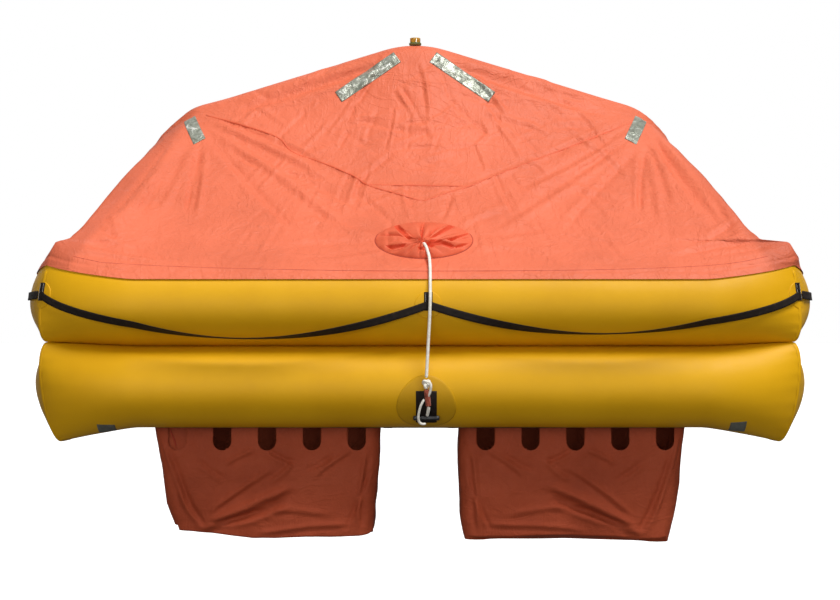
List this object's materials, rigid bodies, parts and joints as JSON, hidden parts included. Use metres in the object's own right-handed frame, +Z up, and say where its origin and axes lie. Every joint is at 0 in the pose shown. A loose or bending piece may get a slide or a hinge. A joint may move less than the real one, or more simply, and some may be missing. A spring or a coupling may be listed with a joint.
{
  "type": "inflatable life raft",
  "caption": "Rectangular inflatable life raft with stacked buoyancy tubes, an arched canopy with a gathered lookout port, water pockets under the floor and a webbing lifeline.",
  "frame": {"origin": "below the middle of the raft, on the waterline it floats at when empty, 29 mm above the tubes' underside", "axes": "+Z up, +X to the right along the closed long side, +Y from the closed side to the entrance"},
  "size_m": [3.029, 2.0525, 1.9775],
  "materials": {
    "tube_fabric": "coated fabric, satin",
    "canopy_fabric": "light coated nylon, wrinkled",
    "pocket_fabric": "coated nylon, matt",
    "webbing": "woven webbing",
    "floor_fabric": "coated fabric, matt",
    "reflective_tape": "crinkled retroreflective tape",
    "rope": "braided rope",
    "rope_sleeve": "woven sleeve",
    "lamp_lens": "moulded lens",
    "black_plastic": "moulded",
    "gas_bottle": "painted",
    "bag_fabric": "coated fabric bag"
  },
  "bodies": {
    "root": {"arch_tube": "tube_fabric", "boarding_ladder": "webbing", "bottle_strap_left": "webbing", "bottle_strap_right": "webbing", "canopy": "canopy_fabric", "door_flap_roll": "canopy_fabric", "equipment_bag": "bag_fabric", "floor_mattress": "floor_fabric", "floor_sheet": "floor_fabric", "front_tape_1": "reflective_tape", "front_tape_2": "reflective_tape", "front_tape_3": "reflective_tape", "front_tape_4": "reflective_tape", "gas_bottle": "gas_bottle", "lifeline_front_left": "webbing", "lifeline_front_right": "webbing", "lifeline_left": "webbing", "lifeline_rear_left": "webbing", "lifeline_rear_right": "webbing", "lifeline_right": "webbing", "light_base": "black_plastic", "light_lens": "lamp_lens", "lower_tube": "tube_fabric", "patch_entrance_left": "tube_fabric", "patch_entrance_right": "tube_fabric", "patch_front_left": "tube_fabric", "patch_front_middle": "tube_fabric", "patch_front_right": "tube_fabric", "patch_rear_left": "tube_fabric", "patch_rear_right": "tube_fabric", "pocket_front_left": "pocket_fabric", "pocket_front_right": "pocket_fabric", "pocket_rear_left": "pocket_fabric", "pocket_rear_right": "pocket_fabric", "port_sleeve": "canopy_fabric", "rear_tape_1": "reflective_tape", "rear_tape_2": "reflective_tape", "rear_tape_3": "reflective_tape", "rear_tape_4": "reflective_tape", "relief_valve_left": "black_plastic", "relief_valve_right": "black_plastic", "righting_strap_left": "webbing", "righting_strap_right": "webbing", "rope": "rope", "rope_end": "rope", "rope_knot": "rope", "rope_sleeve": "rope_sleeve", "rope_tail": "rope", "tab_entrance_left": "webbing", "tab_entrance_right": "webbing", "tab_front_left": "webbing", "tab_front_middle": "webbing", "tab_front_right": "webbing", "tab_rear_left": "webbing", "tab_rear_right": "webbing", "tow_bar": "webbing", "tow_base": "tube_fabric", "tow_pad": "webbing", "upper_tube": "tube_fabric"}
  },
  "joints": []
}
